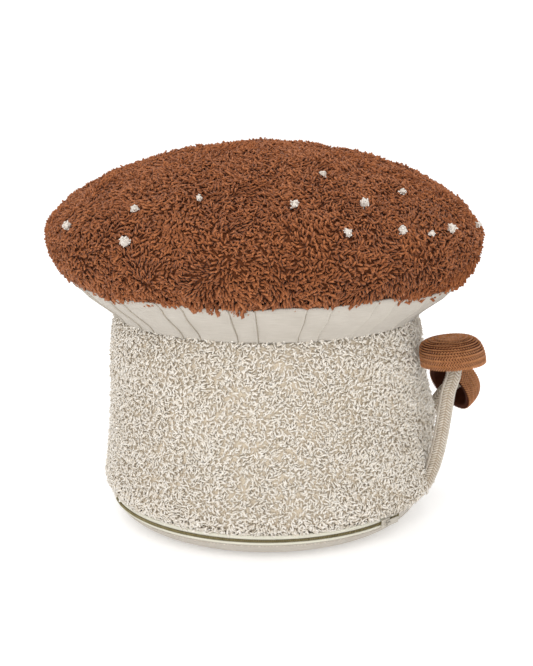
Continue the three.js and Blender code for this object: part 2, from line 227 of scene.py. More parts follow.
# %% Outlines and spinning
def smooth_path(points, steps):
    """A smooth path through a few points, with this many steps between two of them."""
    points = [Vector(point) for point in points]
    ends = [2 * points[0] - points[1], *points, 2 * points[-1] - points[-2]]
    path = []
    for before, start, end, after in zip(ends, ends[1:], ends[2:], ends[3:]):
        for step in range(steps):
            t = step / steps
            pull = (end - before) * t + (2 * before - 5 * start + 4 * end - after) * t**2
            bend = (3 * start - before - 3 * end + after) * t**3
            path.append(start + (pull + bend) / 2)
    return [*path, points[-1]]


def outline_mesh(outline, azimuth=0.0, closed=False):
    """The outline as a chain of edges that stands at one azimuth."""
    bm = bmesh.new()
    rise = bm.verts.layers.float.new("rise")
    chain = [bm.verts.new(ring_point(radius, azimuth, height)) for radius, height in outline]
    for last, vert in zip(chain, chain[1:]):
        vert[rise] = last[rise] + (vert.co - last.co).length
        bm.edges.new((last, vert))
    if closed:
        bm.edges.new((chain[-1], chain[0]))
    return bm


def face_outwards(bm):
    """Merge, then turn all faces the way the outermost one should look."""
    bmesh.ops.remove_doubles(bm, verts=bm.verts[:], dist=1e-6)
    bmesh.ops.recalc_face_normals(bm, faces=bm.faces[:])
    outer = max(bm.faces, key=lambda face: face.calc_center_median().xy.length)
    outer.normal_update()
    if outer.normal.xy.dot(outer.calc_center_median().xy) < 0:
        bmesh.ops.reverse_faces(bm, faces=bm.faces[:])


def turned(outline, steps=128, start=0.0, sweep=360.0, closed=False):
    bm = outline_mesh(outline, start, closed)
    bmesh.ops.spin(
        bm, geom=bm.verts[:] + bm.edges[:], cent=(0, 0, 0), axis=(0, 0, 1),
        angle=math.radians(sweep), steps=steps, use_merge=sweep == 360.0)
    face_outwards(bm)
    return bm


def lay_cloth(bm, radius):
    """A UV map in metres, round the axis and along the outline, for weave to follow."""
    weave = bm.loops.layers.uv.new("Weave")
    rise = bm.verts.layers.float["rise"]
    for face in bm.faces:
        middle = face.calc_center_median()
        facing = math.atan2(middle.x, -middle.y)
        for loop in face.loops:
            turn = math.atan2(loop.vert.co.x, -loop.vert.co.y) - facing
            turn = (turn + math.pi) % (2 * math.pi) - math.pi
            loop[weave].uv = ((facing + turn) * radius, loop.vert[rise])


print("turning helpers ready")

# %% [markdown]
# ## Sizes from the frame
# The cap's widest radius, its top and its lower edge are read off its solid, so this script
# follows them if they change. The pile is about 6 mm deep, so each backing lies that far inside
# its solid and the yarn's tips reach the solid's surface.

# %% Sizes
cap_low, cap_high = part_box("cap_cover")
CAP_RADIUS = (cap_high.y - cap_low.y) / 2
CAP_TOP = cap_high.z
CAP_WIDEST = 0.306
CROWN_FALL = 1.9
CROWN_ROUND = 0.613
CAP_LIP = 0.034
CAP_DROP = CAP_WIDEST - cap_low.z
CAP_PILE = 0.0065
STEM_PILE = 0.0055
STEM_OUTLINE = [
    (0.1685, 0.0310), (0.1745, 0.0390), (0.1770, 0.0480), (0.1768, 0.0580), (0.1750, 0.0740),
    (0.1725, 0.0950), (0.1705, 0.1180), (0.1697, 0.1450), (0.1695, 0.1700), (0.1686, 0.1900),
    (0.1668, 0.2040), (0.1645, 0.2145), (0.1625, 0.2224)]


def cap_outline(inset, lip_turn, crown_steps=40, lip_steps=14):
    """The cap from its top, over the widest ring, to so many degrees round its lip."""
    path = []
    for step in range(crown_steps):
        share = math.sin(step / crown_steps * math.pi / 2)
        fall = (1 - share**CROWN_FALL) ** CROWN_ROUND
        height = CAP_WIDEST + (CAP_TOP - CAP_WIDEST - inset) * fall
        path.append(((CAP_RADIUS - inset) * share, height))
    for step in range(lip_steps + 1):
        angle = math.radians(lip_turn * step / lip_steps)
        out = CAP_RADIUS - CAP_LIP + (CAP_LIP - inset) * math.cos(angle)
        path.append((out, CAP_WIDEST - (CAP_DROP - inset) * math.sin(angle)))
    return path


def stem_outline(inset, steps=4):
    return [(point.x - inset, point.y) for point in smooth_path(STEM_OUTLINE, steps)]


print("cap radius", round(CAP_RADIUS, 4), "top", round(CAP_TOP, 4))

# %% [markdown]
# ## How the stuffing sits
# A stuffed cover isn't quite round. The cap has sunk a little to the right, its loose lip ripples,
# its pile stands in soft clumps, and the stem is pushed out where the toadstools are sewn on. Each
# is a smooth formula that moves the points of a spun shape by a few millimetres.


# %% Sagging and bulging
def ease(value, low, high):
    """0 below low, 1 above high, and a soft slope between them."""
    share = min(max((value - low) / (high - low), 0.0), 1.0)
    return share * share * (3.0 - 2.0 * share)


def bump(value, middle, width):
    return math.exp(-(((value - middle) / width) ** 2))


def settled(place):
    """Where a place on the cap's cover comes to lie."""
    azimuth = math.atan2(place.x, -place.y)
    cover = ease(place.z, 0.244, 0.256)
    lip = cover * (1.0 - ease(place.z, 0.262, 0.300))
    lean = -0.005 * place.x * ease(place.z, 0.228, 0.256)
    ripple = noise.noise(Vector((5 * math.sin(azimuth), 5 * math.cos(azimuth), 4.0)))
    hang = 0.0025 * ripple + 0.004 * bump(azimuth, 0.55, 0.28)
    tuck_in = 1.0 - 0.016 * lip
    shift = -0.003 * bump(place.z, 0.312, 0.04)
    return Vector((place.x * tuck_in + shift, place.y * tuck_in, place.z + lean + hang * lip))


def settle(bm):
    for vert in bm.verts:
        vert.co = settled(vert.co)
    return bm


def ruffle(bm, depth, scale):
    """Soft lumps that lift and lower the pile."""
    bm.normal_update()
    moves = [vert.normal * depth * noise.noise(vert.co * scale) for vert in bm.verts]
    for vert, move in zip(bm.verts, moves):
        vert.co += move
    return bm


def push_out(bm):
    """The stem's bulge beside the toadstools, and a smaller one over the roots of their cords."""
    for vert in bm.verts:
        azimuth = math.degrees(math.atan2(vert.co.x, -vert.co.y))
        swell = 0.014 * bump(vert.co.z, 0.108, 0.042) * bump(azimuth, 92.0, 20.0)
        root = 0.009 * bump(vert.co.z, 0.044, 0.026) * bump(azimuth, 76.0, 22.0)
        vert.co.xy += vert.co.xy.normalized() * (swell + root)
    return bm


print("right rim settles to", settled(Vector((CAP_RADIUS, 0.0, CAP_WIDEST))))

# %% [markdown]
# ## Yarn finishes
# All pile and braid is wool-like yarn. Each strand carries a small UV map of its own: across it
# runs the tone that this strand was dyed, and along it the way from root to tip. The colour reads
# nothing else, so thousands of strands can share one small picture when the model is exported.
# Roots are darker than tips, because little light gets down between the strands. A sheen on the
# shader gives the pale bloom that pile has where it is seen edge-on.


# %% Yarn
def yarn_finish(name, roots, tips, sheen):
    """roots and tips each hold the colour of the darkest and of the palest strand."""
    finish, board, shader = new_finish(
        name, Specular_IOR_Level=0.2, Sheen_Weight=sheen, Sheen_Roughness=0.5)
    place = board.add("ShaderNodeUVMap", {"uv_map": "OFBake"})
    tone = board.add("ShaderNodeSeparateXYZ", {}, {0: place})
    along = tone.out(1)
    root = board.mix(tone, *roots)
    tip = board.mix(tone, *tips)
    colour = board.mix(along.within(0.05, 0.75), root, tip)
    board.feed(shader.inputs["Base Color"], colour)
    board.feed(shader.inputs["Roughness"], 0.95 - along * 0.15)
    return finish


cap_yarn = yarn_finish(
    "cap_yarn", (rgb(0.13, 0.036, 0.011), rgb(0.20, 0.062, 0.021)),
    (rgb(0.25, 0.075, 0.023), rgb(0.46, 0.165, 0.060)), 0.06)
stem_yarn = yarn_finish(
    "stem_yarn", (rgb(0.68, 0.59, 0.47), rgb(0.78, 0.71, 0.60)),
    (rgb(0.80, 0.74, 0.65), rgb(0.93, 0.89, 0.83)), 0.1)
dot_yarn = yarn_finish(
    "dot_yarn", (rgb(0.52, 0.46, 0.39), rgb(0.62, 0.56, 0.49)),
    (rgb(0.72, 0.66, 0.59), rgb(0.85, 0.80, 0.74)), 0.1)
braid_yarn = yarn_finish(
    "braid_yarn", (rgb(0.28, 0.105, 0.038), rgb(0.36, 0.142, 0.055)),
    (rgb(0.52, 0.222, 0.084), rgb(0.69, 0.318, 0.130)), 0.1)
cord_yarn = yarn_finish(
    "cord_yarn", (rgb(0.42, 0.34, 0.25), rgb(0.54, 0.46, 0.36)),
    (rgb(0.76, 0.70, 0.62), rgb(0.94, 0.90, 0.84)), 0.1)
thread_yarn = yarn_finish(
    "thread_yarn", (rgb(0.30, 0.25, 0.18), rgb(0.36, 0.30, 0.22)),
    (rgb(0.42, 0.36, 0.28), rgb(0.52, 0.46, 0.37)), 0.0)
print("yarn finishes ready")

# %% [markdown]
# ## One strand of yarn
# A tuft is a short curl of yarn that stands up from the backing and bends over. A small triangle
# is spun about an axis beside it, which makes a bent tube in one step; then the first and the
# last ring are drawn to a point. Twelve triangles are enough for a thing that is about 2 mm
# thick, and there are tens of thousands of them.

# %% Strand
RINGS = ((0.0, 0.0), (0.20, 1.0), (0.86, 0.95), (1.0, 0.0))
STRAND_FACES = 9


def strand(length, thick, bend, foot=0.0):
    """A strand that rises along +Z from the origin, on a straight foot, and bends towards +X."""
    bm = bmesh.new()
    bmesh.ops.create_circle(bm, segments=3, radius=thick / 2)
    reach = length / bend
    bmesh.ops.spin(
        bm, geom=bm.verts[:] + bm.edges[:], cent=(reach, 0, 0), axis=(0, 1, 0),
        angle=bend, steps=len(RINGS) - 1)
    bmesh.ops.recalc_face_normals(bm, faces=bm.faces[:])
    along = bm.verts.layers.float.new("along")
    across = bm.verts.layers.float.new("across")
    for vert in bm.verts:
        turn = math.atan2(vert.co.z, reach - vert.co.x) % (2 * math.pi)
        ring = round(turn / bend * (len(RINGS) - 1)) if turn < bend + 0.2 else 0
        share, width = RINGS[ring]
        out = math.hypot(reach - vert.co.x, vert.co.z) - reach
        vert[along] = share
        vert[across] = math.atan2(vert.co.y, out) / (2 * math.pi) + 0.5
        vert.co.x = reach - (reach + out * width) * math.cos(bend * share)
        vert.co.y *= width
        vert.co.z = (reach + out * width) * math.sin(bend * share) + (foot if ring else 0.0)
    bmesh.ops.remove_doubles(bm, verts=bm.verts[:], dist=1e-6)
    return bm


def dye(bm, tones=(0.5,), middle_out=False):
    """Give each strand its tone and its root-to-tip place in the UV map that the yarn reads."""
    dyed = bm.loops.layers.uv.new("OFBake")
    along = bm.verts.layers.float["along"]
    across = bm.verts.layers.float["across"]
    faces_each = len(bm.faces) // len(tones)
    for number, face in enumerate(bm.faces):
        tone = tones[min(number // faces_each, len(tones) - 1)]
        for loop in face.loops:
            height = loop.vert[along]
            # Laid strands get the roots' painted shade at both ends, where they dip under their
            # neighbours or into the cloth.
            if middle_out:
                height = 1.0 - abs(2.0 * height - 1.0)
            loop[dyed].uv = (tone + 0.03 * loop.vert[across], 0.02 + 0.96 * height)


def strand_set(name, shapes, thick):
    """A collection of strands to scatter, one for each (length, bend, foot)."""
    strands = bpy.data.collections.new(name)
    bpy.context.scene.collection.children.link(strands)
    for length, bend, foot in shapes:
        bm = strand(length, thick, math.radians(bend), foot)
        dye(bm, (0.0,))
        mesh = bpy.data.meshes.new(name)
        bm.to_mesh(mesh)
        bm.free()
        mesh.shade_smooth()
        strands.objects.link(bpy.data.objects.new(name, mesh))
    return strands


cap_strands = strand_set(
    "cap_strands",
    [(0.0066, 110, 0.0018), (0.0070, 140, 0.0020), (0.0074, 170, 0.0022), (0.0078, 200, 0.0024),
     (0.0060, 80, 0.0016)], 0.0021)
stem_strands = strand_set(
    "stem_strands",
    [(0.0058, 100, 0.0016), (0.0062, 130, 0.0018), (0.0066, 160, 0.0020), (0.0070, 190, 0.0022),
     (0.0054, 80, 0.0014)], 0.0019)
dot_strands = strand_set("dot_strands", [(0.0030, 110, 0.0), (0.0034, 150, 0.0)], 0.0018)
print("strands ready")

# %% [markdown]
# ## Growing a pile
# Hair particles would be quick, but an exported model keeps only meshes. So a Geometry Nodes
# tree scatters the strands over a backing: points lie at an even spacing, each strand stands on
# the backing's normal, leans the way its neighbours are combed, and bends that way. Low down the
# comb turns towards the floor, as yarn hangs, and there a fringe of longer clumps can be asked
# for. The strands are then made real, and the result is taken off the modifier as a plain mesh.
# Points closer than 2 mm to a thing that stands in the pile are left out.


# %% Scatter tree
CLEARANCE = 0.002


def pile_tree(name, strands, spacing, seed, comb, lean, hang, sizes, clear_of, fringe):
    tree = bpy.data.node_groups.new(name, "GeometryNodeTree")
    tree.interface.new_socket("Backing", in_out="INPUT", socket_type="NodeSocketGeometry")
    tree.interface.new_socket("Pile", in_out="OUTPUT", socket_type="NodeSocketGeometry")
    board = Board(tree)
    backing = board.add("NodeGroupInput")
    roots = board.add(
        "GeometryNodeDistributePointsOnFaces", {"distribute_method": "POISSON"},
        {"Mesh": backing, "Distance Min": spacing, "Density Max": 2.5 / spacing**2, "Seed": seed})
    normal = roots.out("Normal")
    place = board.add("GeometryNodeInputPosition")
    for thing in clear_of:
        solid = board.add("GeometryNodeObjectInfo", {}, {"Object": thing}, "Geometry")
        near = board.add(
            "GeometryNodeProximity", {"target_element": "FACES"}, {0: solid}, "Distance")
        roots = board.add(
            "GeometryNodeDeleteGeometry", {},
            {"Geometry": roots, "Selection": near.math("LESS_THAN", CLEARANCE)})
    swirl = board.add(
        "ShaderNodeTexNoise", {}, {"Vector": place, "Scale": 24.0, "Detail": 1.0}, "Color")
    swirl = board.scaled(board.vector("SUBTRACT", swirl, (0.5, 0.5, 0.5)), 6.0 * comb)
    own = board.add(
        "FunctionNodeRandomValue", {"data_type": "FLOAT_VECTOR"},
        {0: (comb - 1.0,) * 3, 1: (1.0 - comb,) * 3, "Seed": seed + 1})
    low, high, strength = hang
    height = board.add("ShaderNodeSeparateXYZ", {}, {0: place}, "Z")
    hanging = 1.0 - height.within(low, high)
    down = board.add("ShaderNodeCombineXYZ", {}, {"Z": hanging * -strength})
    way = board.vector("ADD", board.vector("ADD", swirl, own), down)
    up = board.vector("ADD", normal, board.scaled(way, lean))
    stand = board.add("FunctionNodeAlignRotationToVector", {"axis": "Z"}, {"Vector": up})
    turn = board.add(
        "FunctionNodeAlignRotationToVector", {"axis": "X", "pivot_axis": "Z"},
        {"Rotation": stand, "Vector": way})
    kind = board.add(
        "FunctionNodeRandomValue", {"data_type": "INT"},
        {4: 0, 5: len(strands.objects) - 1, "Seed": seed + 2}, 2)
    size = board.add(
        "FunctionNodeRandomValue", {"data_type": "FLOAT"},
        {2: sizes[0], 3: sizes[1], "Seed": seed + 3}, 1)
    clump = board.add("ShaderNodeTexNoise", {}, {"Vector": place, "Scale": 75.0, "Detail": 1.0})
    size = size * (1.0 + hanging * clump.within(0.35, 0.75) * fringe)
    shapes = board.add(
        "GeometryNodeCollectionInfo", {},
        {"Collection": strands, "Separate Children": True, "Reset Children": True})
    planted = board.add(
        "GeometryNodeInstanceOnPoints", {},
        {"Points": roots, "Instance": shapes, "Pick Instance": True, "Instance Index": kind,
         "Rotation": turn, "Scale": size})
    finish_tree(board, planted, seed, place)
    return tree


def finish_tree(board, planted, seed, place):
    """Dye each strand, make the strands real and write their tone into the yarn's UV map."""
    own = board.add("FunctionNodeRandomValue", {"data_type": "FLOAT"}, {"Seed": seed + 4}, 1)
    patch = board.add("ShaderNodeTexNoise", {}, {"Vector": place, "Scale": 30.0, "Detail": 2.0})
    tone = own * 0.65 + (patch * 1.6 - 0.3) * 0.35
    dyed = board.add(
        "GeometryNodeStoreNamedAttribute", {"data_type": "FLOAT", "domain": "INSTANCE"},
        {"Geometry": planted, "Name": "tone", "Value": tone})
    real = board.add("GeometryNodeRealizeInstances", {}, {"Geometry": dyed})
    own_tone = board.add(
        "GeometryNodeInputNamedAttribute", {"data_type": "FLOAT"}, {"Name": "tone"})
    old = board.add(
        "GeometryNodeInputNamedAttribute", {"data_type": "FLOAT_VECTOR"}, {"Name": "OFBake"})
    across = board.add("ShaderNodeSeparateXYZ", {}, {0: old})
    flat = board.add(
        "ShaderNodeCombineXYZ", {}, {"X": own_tone * 0.95 + across + 0.01, "Y": across.out("Y")})
    painted = board.add(
        "GeometryNodeStoreNamedAttribute", {"data_type": "FLOAT2", "domain": "CORNER"},
        {"Geometry": real, "Name": "OFBake", "Value": flat})
    clean = board.add("GeometryNodeRemoveAttribute", {}, {"Geometry": painted, "Name": "tone"})
    board.add("NodeGroupOutput", {}, {0: clean})


def grow_pile(name, backing, strands, spacing, seed, comb=0.5, lean=0.35,
              hang=(0.0, 1.0, 0.0), sizes=(0.8, 1.2), clear_of=(), fringe=0.0):
    """The mesh of a pile on a backing, which is a bmesh that is used up here."""
    mesh = bpy.data.meshes.new(name)
    backing.to_mesh(mesh)
    backing.free()
    holder = bpy.data.objects.new(name + "_backing", mesh)
    bpy.context.scene.collection.objects.link(holder)
    grower = holder.modifiers.new("grow", "NODES")
    grower.node_group = pile_tree(
        name, strands, spacing, seed, comb, lean, hang, sizes, clear_of, fringe)
    graph = bpy.context.evaluated_depsgraph_get()
    pile = bpy.data.meshes.new_from_object(holder.evaluated_get(graph), depsgraph=graph)
    bpy.data.objects.remove(holder)
    return pile


print("pile helpers ready")

# %% [markdown]
# ## Cream dots
# The dots on the cap are single knots of off-white yarn. Each is a small lumpy ball with short
# curls round it, at the place of its solid in the frame. All balls are one piece and all curls
# another. The ball's finish is a plain cloth with a fine grain; the grounds of the piles get the
# same kind of finish in colours of their own, which for the cap's ground, the cords' cores and
# the domes' linings are painted shade.


# %% Ground of a pile
def backing_finish(name, dark, pale):
    finish, board, shader = new_finish(name, Specular_IOR_Level=0.1)
    place = board.add("ShaderNodeTexCoord", {}, {}, "Object")
    grain = board.add("ShaderNodeTexNoise", {}, {"Vector": place, "Scale": 420.0, "Detail": 2.0})
    board.feed(shader.inputs["Base Color"], board.mix(grain, dark, pale))
    board.feed(shader.inputs["Roughness"], 0.9 + grain * 0.1)
    bump = board.add("ShaderNodeBump", {}, {"Strength": 0.4, "Distance": 0.001, "Height": grain})
    board.feed(shader.inputs["Normal"], bump)
    return finish


print("grounds ready")

# %% Dots
dot_nodes = sorted(node for node in frame["nodes"] if node.startswith("cap_dot_"))


def dot_core(radius):
    """A ball for each dot, no two of them the same size or shape."""
    bm = bmesh.new()
    for number, node in enumerate(dot_nodes):
        low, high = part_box(node)
        middle = settled((low + high) / 2)
        size = radius * (0.95 + 0.25 * math.sin(2.4 * number))
        ball = bmesh.ops.create_icosphere(
            bm, subdivisions=2, radius=size, matrix=Matrix.Translation(middle))
        for vert in ball["verts"]:
            lump = noise.noise(vert.co * 300.0 + Vector((number, 0, 0)))
            vert.co += (vert.co - middle) * 0.55 * lump
    return bm


dot_curls = grow_pile("dot_curls", dot_core(0.0026), dot_strands, 0.0013, 70, 0.3, 0.5)
finish_piece("dot_curls", dot_curls, dot_yarn, dot_nodes)
dot_cloth = backing_finish("dot_cloth", rgb(0.58, 0.52, 0.45), rgb(0.76, 0.70, 0.63))
cap_dots = finish_piece("dot_knots", dot_core(0.0033), dot_cloth)
print(len(dot_nodes), "dots")

# %% [markdown]
# ## Cap
# The cap is a stuffed cover: a firm backing with the yarn tufted through it. The backing is a
# closed shell, spun from the cap's outline and a lining inside it. It is painted dark as shade,
# because it only shows in the gaps between strands, where little light gets down. The pile goes
# further round the lip than the backing, so that none of it shows above the collar. It is grown
# on three sectors, so that no piece has too many triangles.

# %% Cap backing
# The backing's colour is painted shade, darker than the darkest root of the yarn.
cap_shade_cloth = backing_finish("cap_shade_cloth", rgb(0.10, 0.028, 0.010), rgb(0.16, 0.050, 0.018))
BACKING_TURN = 68.0
PILE_TURN = 88.0
CLUMP_DEPTH = 0.003
CLUMP_SCALE = 40.0
cap_outside = cap_outline(CAP_PILE, BACKING_TURN, 16, 8)
cap_inside = cap_outline(CAP_PILE + 0.006, BACKING_TURN, 16, 8)
cap_shell = turned([*cap_outside, *reversed(cap_inside)], 96, closed=True)
cap_ground = settle(ruffle(cap_shell, CLUMP_DEPTH, CLUMP_SCALE))
cap_backing = finish_piece("cap_backing", cap_ground, cap_shade_cloth, ["cap_cover"])

# %% Cap pile
CAP_SECTORS = {"front": (-60.0, 0.9), "right": (60.0, 1.0), "left": (180.0, 0.8)}
for number, (side, (start, fringe)) in enumerate(CAP_SECTORS.items()):
    sector = turned(cap_outline(CAP_PILE, PILE_TURN), 48, start, 120.0)
    sector = settle(ruffle(sector, CLUMP_DEPTH, CLUMP_SCALE))
    pile = grow_pile(
        "cap_pile_" + side, sector, cap_strands, 0.00185, 10 * number + 1, 0.5, 0.55,
        (0.256, 0.292, 1.7), (0.78, 1.2), [cap_dots], fringe)
    finish_piece("cap_pile_" + side, pile, cap_yarn)

# %% [markdown]
# ## Canvas
# Collar and base are plain-woven canvas in undyed cotton. The weave runs round and along the
# piece, so the finish reads the UV map that was laid in metres. Two crossed waves make the
# threads, a stretched noise makes some threads thicker than others, and a broad noise gives the
# cloth its slightly uneven tone.


# %% Canvas
def canvas_finish(name, dark, pale, thread):
    finish, board, shader = new_finish(
        name, Specular_IOR_Level=0.2, Sheen_Weight=0.1, Sheen_Roughness=0.6)
    place = board.add("ShaderNodeUVMap", {"uv_map": "Weave"})
    across = board.add("ShaderNodeSeparateXYZ", {}, {0: place})
    along = across.out("Y")
    turns = 2.0 * math.pi / thread
    weave = (across * turns).sine() * (along * turns).sine()
    stretched = board.vector("MULTIPLY", place, (60.0, 900.0, 1.0))
    slub = board.add("ShaderNodeTexNoise", {}, {"Vector": stretched, "Scale": 1.0, "Detail": 2.0})
    soil = board.add("ShaderNodeTexNoise", {}, {"Vector": place, "Scale": 35.0, "Detail": 3.0})
    tone = weave * 0.2 + slub * 0.6 + soil * 0.4
    board.feed(shader.inputs["Base Color"], board.mix(tone, dark, pale))
    board.feed(shader.inputs["Roughness"], 0.92 - slub * 0.1)
    height = weave * 0.5 + slub
    bump = board.add("ShaderNodeBump", {}, {"Strength": 0.5, "Distance": 0.0004, "Height": height})
    board.feed(shader.inputs["Normal"], bump)
    return finish


canvas = canvas_finish("canvas", rgb(0.36, 0.32, 0.265), rgb(0.62, 0.575, 0.515), 0.0017)
print("canvas ready")

# %% [markdown]
# ## Collar
# The collar is sewn to the stem and flares out to the cap like a cone. Its upper edge goes a few
# millimetres past its solid's, in under the pile. Pairs of pin tucks run up it: each is a narrow
# fold, laid to one side, with a line of stitches in the crease beside it. One gore, an eighteenth
# of the round, is made by pushing the outline round in small turns and lifting it where a tuck
# is. The gore is then spun round as copies that are merged.

# %% Collar
COLLAR_OUTLINE = [
    (0.1605, 0.2203), (0.1625, 0.2235), (0.1658, 0.2275), (0.1736, 0.2338), (0.1834, 0.2410),
    (0.2085, 0.2600)]
GORES = 18
TUCK_PHASE = -6.4
TUCK_SPREAD = 3.4
TUCK = [
    (-0.60, 0.0), (-0.32, 0.6), (-0.10, 1.0), (0.10, 1.0), (0.20, 0.1), (0.32, -0.4), (0.60, 0.0)]
TUCK_HEIGHT = 0.0012
CREASE = 0.32


def collar_columns():
    """(azimuth in the gore, lift) of each column, from one edge of the gore to the other."""
    half = 180.0 / GORES
    columns = [(-half, 0.0), (-half + 3.2, 0.0)]
    for side in (-TUCK_SPREAD, TUCK_SPREAD):
        columns += [(side + turn, lift * TUCK_HEIGHT) for turn, lift in TUCK]
        columns.append((0.0 if side < 0 else half - 3.2, 0.0))
    return [*columns, (half, 0.0)]


def collar_gore():
    outline = smooth_path(COLLAR_OUTLINE, 3)
    columns = collar_columns()
    bm = outline_mesh(outline, TUCK_PHASE + columns[0][0])
    edges = bm.edges[:]
    lifted = []
    for (before, _), (turn, lift) in zip(columns, columns[1:]):
        pushed = bmesh.ops.extrude_edge_only(bm, edges=edges)["geom"]
        edges = [item for item in pushed if isinstance(item, bmesh.types.BMEdge)]
        edges = [edge for edge in edges if all(vert in pushed for vert in edge.verts)]
        verts = list({vert for edge in edges for vert in edge.verts})
        spin = Matrix.Rotation(math.radians(turn - before), 3, "Z")
        bmesh.ops.rotate(bm, cent=(0, 0, 0), matrix=spin, verts=verts)
        lifted += [(vert, lift) for vert in verts if lift]
    bm.normal_update()
    pushes = []
    for vert, lift in lifted:
        out = vert.co.xy.normalized()
        pushes.append((vert, Vector((out.x * 0.8, out.y * 0.8, -0.6)) * lift))
    for vert, push in pushes:
        vert.co += push
    return bm


collar = collar_gore()
bmesh.ops.spin(
    collar, geom=collar.verts[:] + collar.edges[:] + collar.faces[:], cent=(0, 0, 0),
    axis=(0, 0, 1), angle=2 * math.pi * (GORES - 1) / GORES, steps=GORES - 1, use_duplicate=True)
face_outwards(collar)
bmesh.ops.solidify(collar, geom=collar.faces[:], thickness=0.0015)
lay_cloth(collar, 0.185)
finish_piece("collar", settle(collar), canvas, ["gill_collar"])

# %% [markdown]
# ## Stem
# The stem is made as the cap is, in cream: a backing shell and a pile. The toadstools' cords
# stand in it, so they are made first, and the pile keeps clear of them.
#
# A toadstool's cord is braided. On a straight cord that is easy: one ring of slanted strands,
# leaning left and right in turn so that each two meet in a V, is copied upwards at an even pitch.
# The straight cord is then bent along its path, which repeats the points of the frame's solid.

# %% Toadstool paths
BRAID_WALL = 0.0065
CORD_RADIUS = 0.0082
TOADSTOOLS = {
    "front": {
        "radius": 0.0335, "height": 0.028, "rim": (0.1893, -0.080, 0.1817),
        "facing": (-0.1, 0, 1),
        "cord": [(0.1621, -0.059, 0.040), (0.1686, -0.0616, 0.050), (0.1754, -0.065, 0.070),
                 (0.1804, -0.0692, 0.098), (0.1836, -0.074, 0.130), (0.1858, -0.0774, 0.152)]},
    "rear": {
        "radius": 0.031, "height": 0.030, "rim": (0.206, 0.037, 0.124),
        "facing": (0.75, 0.45, 0.48),
        "cord": [(0.166, 0.040, 0.040), (0.1718, 0.041, 0.051), (0.178, 0.0405, 0.072),
                 (0.1855, 0.0375, 0.096)]}}


def cap_turn(toadstool):
    """The matrix that puts a toadstool cap, made upright at the origin, in its place."""
    turn = Vector((0, 0, 1)).rotation_difference(Vector(toadstool["facing"]))
    return Matrix.Translation(toadstool["rim"]) @ turn.to_matrix().to_4x4()


def cord_path(toadstool):
    place = cap_turn(toadstool)
    ceiling = toadstool["height"] - BRAID_WALL - 0.0015
    inside = [place @ Vector((0, 0, height)) for height in (-0.010, ceiling / 2, ceiling)]
    return smooth_path([*toadstool["cord"], *inside], 12)


print({side: len(cord_path(toadstool)) for side, toadstool in TOADSTOOLS.items()})

# %% Straight cord
CORD_PITCH = 0.0030
CORD_FANS = 4
CORD_STRAND = 0.0084
CORD_YARN = 0.0020


def no_strands():
    """An empty bmesh with the layers that strands carry."""
    bm = bmesh.new()
    for key in ("along", "across"):
        bm.verts.layers.float.new(key)
    return bm


def add_to(bm, other):
    """Put another bmesh's shape into this one."""
    mesh = bpy.data.meshes.new("part")
    other.to_mesh(mesh)
    other.free()
    bm.from_mesh(mesh)
    bpy.data.meshes.remove(mesh)


def laid_strand(length, thick, slant, place, bow=0.4):
    """A strand laid against an upright face that looks along -Y, slanted from the level.

    It bows outwards by the angle bow, and its middle is at the origin before it is placed."""
    bm = strand(length, thick, bow)
    reach = length / bow
    middle = (-reach * math.sin(bow / 2), 0, reach * (math.cos(bow / 2) - 1))
    level = Matrix.Translation(middle) @ Matrix.Rotation((math.pi - bow) / 2, 4, "Y")
    lay = Matrix.Rotation(math.radians(slant), 4, "Y") @ Matrix.Rotation(math.radians(90), 4, "X")
    bmesh.ops.transform(bm, matrix=place @ lay @ level, verts=bm.verts[:])
    return bm


def ring_of(bm, copies):
    """Copy a shape evenly round the Z axis."""
    bmesh.ops.spin(
        bm, geom=bm.verts[:] + bm.edges[:] + bm.faces[:], cent=(0, 0, 0), axis=(0, 0, 1),
        angle=2 * math.pi * (copies - 1) / copies, steps=copies - 1, use_duplicate=True)
    return bm


def straight_cord(length):
    bm = no_strands()
    for side in (-1, 1):
        turn = Matrix.Rotation(side * math.pi / (2 * CORD_FANS), 4, "Z")
        place = turn @ Matrix.Translation((0, 0.0011 - CORD_RADIUS, 0))
        add_to(bm, laid_strand(CORD_STRAND, CORD_YARN, side * 40, place, 0.7))
    ring_of(bm, CORD_FANS)
    row = bm.verts[:] + bm.edges[:] + bm.faces[:]
    for step in range(1, int(length / CORD_PITCH)):
        copied = bmesh.ops.duplicate(bm, geom=row)["geom"]
        verts = [item for item in copied if isinstance(item, bmesh.types.BMVert)]
        bmesh.ops.translate(bm, vec=(0, 0, step * CORD_PITCH), verts=verts)
    return bm


print("cord rows every", CORD_PITCH)


# %% Bending a cord along its path
def path_frames(path):
    """Length so far, point and two cross directions at each point of a path, without twist."""
    frames = []
    side = Vector((0, 1, 0))
    run = 0.0
    for number, point in enumerate(path):
        ahead = path[min(number + 1, len(path) - 1)] - path[max(number - 1, 0)]
        ahead.normalize()
        side = (side - ahead * side.dot(ahead)).normalized()
        if number:
            run += (point - path[number - 1]).length
        frames.append((run, point, side, side.cross(ahead)))
    return frames


def bend_along(bm, frames):
    """Move a shape that stands on the Z axis onto a path."""
    for vert in bm.verts:
        height = min(max(vert.co.z, 0.0), frames[-1][0] - 1e-6)
        after = next(i for i, row in enumerate(frames) if row[0] > height)
        first, second = frames[after - 1], frames[after]
        share = (height - first[0]) / (second[0] - first[0])
        mid, one, two = (a.lerp(b, share) for a, b in zip(first[1:], second[1:]))
        vert.co = mid + one * vert.co.x + two * vert.co.y


def tones_for(count, seed):
    chance = random.Random(seed)
    return [0.95 * chance.random() for _ in range(count)]


def cord_core(frames, radius):
    """The plain tube inside the braid: a circle pushed along the path."""
    bm = bmesh.new()
    bmesh.ops.create_circle(bm, cap_ends=True, segments=14, radius=radius)
    face = bm.faces[:]
    for run, *_ in frames[1:]:
        pushed = bmesh.ops.extrude_face_region(bm, geom=face)["geom"]
        face = [item for item in pushed if isinstance(item, bmesh.types.BMFace)]
        for vert in face[0].verts:
            vert.co.z = run
    return bm
